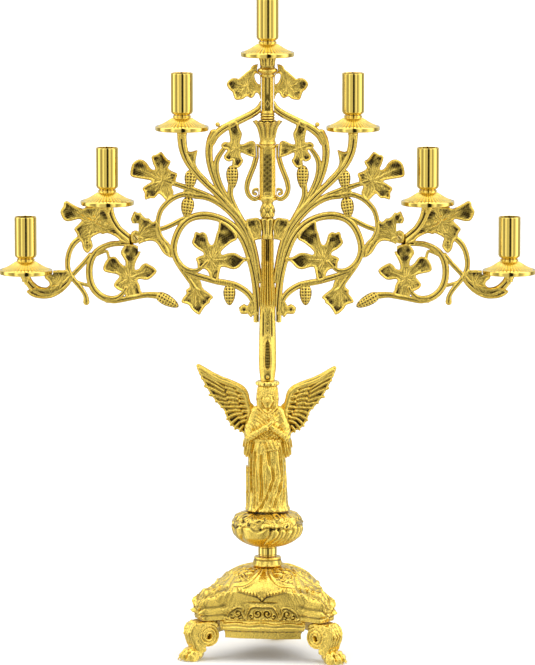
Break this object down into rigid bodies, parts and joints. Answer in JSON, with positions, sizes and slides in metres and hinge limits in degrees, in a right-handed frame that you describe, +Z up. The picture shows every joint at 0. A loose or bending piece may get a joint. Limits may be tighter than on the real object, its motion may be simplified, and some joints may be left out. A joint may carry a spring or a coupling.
{
  "type": "tabletop candelabra",
  "caption": "Cast brass tabletop candelabra: winged figure on a tripod paw-foot base, openwork vine branches, drip pans and candle sockets on turned stems.",
  "frame": {"origin": "centre of the bounding box's bottom face, on the table plane", "axes": "+Z up, branches spread along X, front towards -Y"},
  "size_m": [0.6104, 0.1814, 0.7522],
  "materials": {
    "cast_brass": "polished casting with darker recesses",
    "polished_brass": "lacquered mirror polish",
    "fastener_steel": "zinc and brass plated steel"
  },
  "bodies": {
    "root": {"angel_figure": "cast_brass", "base_collar": "cast_brass", "base_foot_left": "cast_brass", "base_foot_rear": "cast_brass", "base_foot_right": "cast_brass", "base_shell": "cast_brass", "branch_screw_left": "fastener_steel", "branch_screw_right": "fastener_steel", "central_column": "cast_brass", "cloud_bowl": "cast_brass", "column_bud": "cast_brass", "crown_cap": "polished_brass", "foot_screw_left": "fastener_steel", "foot_screw_rear": "fastener_steel", "foot_screw_right": "fastener_steel", "inner_vine_left": "cast_brass", "inner_vine_right": "cast_brass", "lower_shaft": "cast_brass", "lyre_scroll_left": "cast_brass", "lyre_scroll_right": "cast_brass", "neck_sleeve": "polished_brass", "outer_branch_left": "cast_brass", "outer_branch_right": "cast_brass", "socket_stud_2": "fastener_steel", "socket_stud_3": "fastener_steel", "socket_stud_4": "fastener_steel", "socket_stud_5": "fastener_steel", "socket_stud_6": "fastener_steel", "socket_stud_7": "fastener_steel", "tie_rod_lower": "fastener_steel", "tie_rod_nut": "fastener_steel", "tie_rod_upper": "fastener_steel", "tie_rod_washer": "fastener_steel", "top_capital": "polished_brass", "top_leaf_left": "cast_brass", "top_leaf_right": "cast_brass", "tulip_calyx": "cast_brass", "upper_column": "cast_brass", "wing_left": "cast_brass", "wing_right": "cast_brass", "wing_screw_left": "fastener_steel", "wing_screw_right": "fastener_steel"},
    "pan_1": {"drip_pan_1": "polished_brass"},
    "socket_1": {"candle_socket_1": "polished_brass"},
    "pan_2": {"drip_pan_2": "polished_brass"},
    "socket_2": {"candle_socket_2": "polished_brass"},
    "pan_3": {"drip_pan_3": "polished_brass"},
    "socket_3": {"candle_socket_3": "polished_brass"},
    "pan_4": {"drip_pan_4": "polished_brass"},
    "socket_4": {"candle_socket_4": "polished_brass"},
    "pan_5": {"drip_pan_5": "polished_brass"},
    "socket_5": {"candle_socket_5": "polished_brass"},
    "pan_6": {"drip_pan_6": "polished_brass"},
    "socket_6": {"candle_socket_6": "polished_brass"},
    "pan_7": {"drip_pan_7": "polished_brass"},
    "socket_7": {"candle_socket_7": "polished_brass"}
  },
  "joints": [
    {"name": "pan_lift_1", "type": "slide", "parent": "root", "child": "pan_1", "axis": [0, 0, 1], "range_m": [0, 0.024]},
    {"name": "socket_turn_1", "type": "hinge", "parent": "pan_1", "child": "socket_1", "pos_m": [0, -0.0189, 0.7262], "axis": [0, 0, 1], "continuous": true},
    {"name": "pan_lift_2", "type": "slide", "parent": "root", "child": "pan_2", "axis": [0, 0, 1], "range_m": [0, 0.024]},
    {"name": "socket_turn_2", "type": "hinge", "parent": "pan_2", "child": "socket_2", "pos_m": [-0.0969, -0.0189, 0.6422], "axis": [0, 0, 1], "continuous": true},
    {"name": "pan_lift_3", "type": "slide", "parent": "root", "child": "pan_3", "axis": [0, 0, 1], "range_m": [0, 0.024]},
    {"name": "socket_turn_3", "type": "hinge", "parent": "pan_3", "child": "socket_3", "pos_m": [0.0969, -0.0189, 0.6422], "axis": [0, 0, 1], "continuous": true},
    {"name": "pan_lift_4", "type": "slide", "parent": "root", "child": "pan_4", "axis": [0, 0, 1], "range_m": [0, 0.024]},
    {"name": "socket_turn_4", "type": "hinge", "parent": "pan_4", "child": "socket_4", "pos_m": [-0.1818, -0.0189, 0.5574], "axis": [0, 0, 1], "continuous": true},
    {"name": "pan_lift_5", "type": "slide", "parent": "root", "child": "pan_5", "axis": [0, 0, 1], "range_m": [0, 0.024]},
    {"name": "socket_turn_5", "type": "hinge", "parent": "pan_5", "child": "socket_5", "pos_m": [0.1818, -0.0189, 0.5574], "axis": [0, 0, 1], "continuous": true},
    {"name": "pan_lift_6", "type": "slide", "parent": "root", "child": "pan_6", "axis": [0, 0, 1], "range_m": [0, 0.024]},
    {"name": "socket_turn_6", "type": "hinge", "parent": "pan_6", "child": "socket_6", "pos_m": [-0.2747, -0.0189, 0.4786], "axis": [0, 0, 1], "continuous": true},
    {"name": "pan_lift_7", "type": "slide", "parent": "root", "child": "pan_7", "axis": [0, 0, 1], "range_m": [0, 0.024]},
    {"name": "socket_turn_7", "type": "hinge", "parent": "pan_7", "child": "socket_7", "pos_m": [0.2747, -0.0189, 0.4786], "axis": [0, 0, 1], "continuous": true}
  ]
}
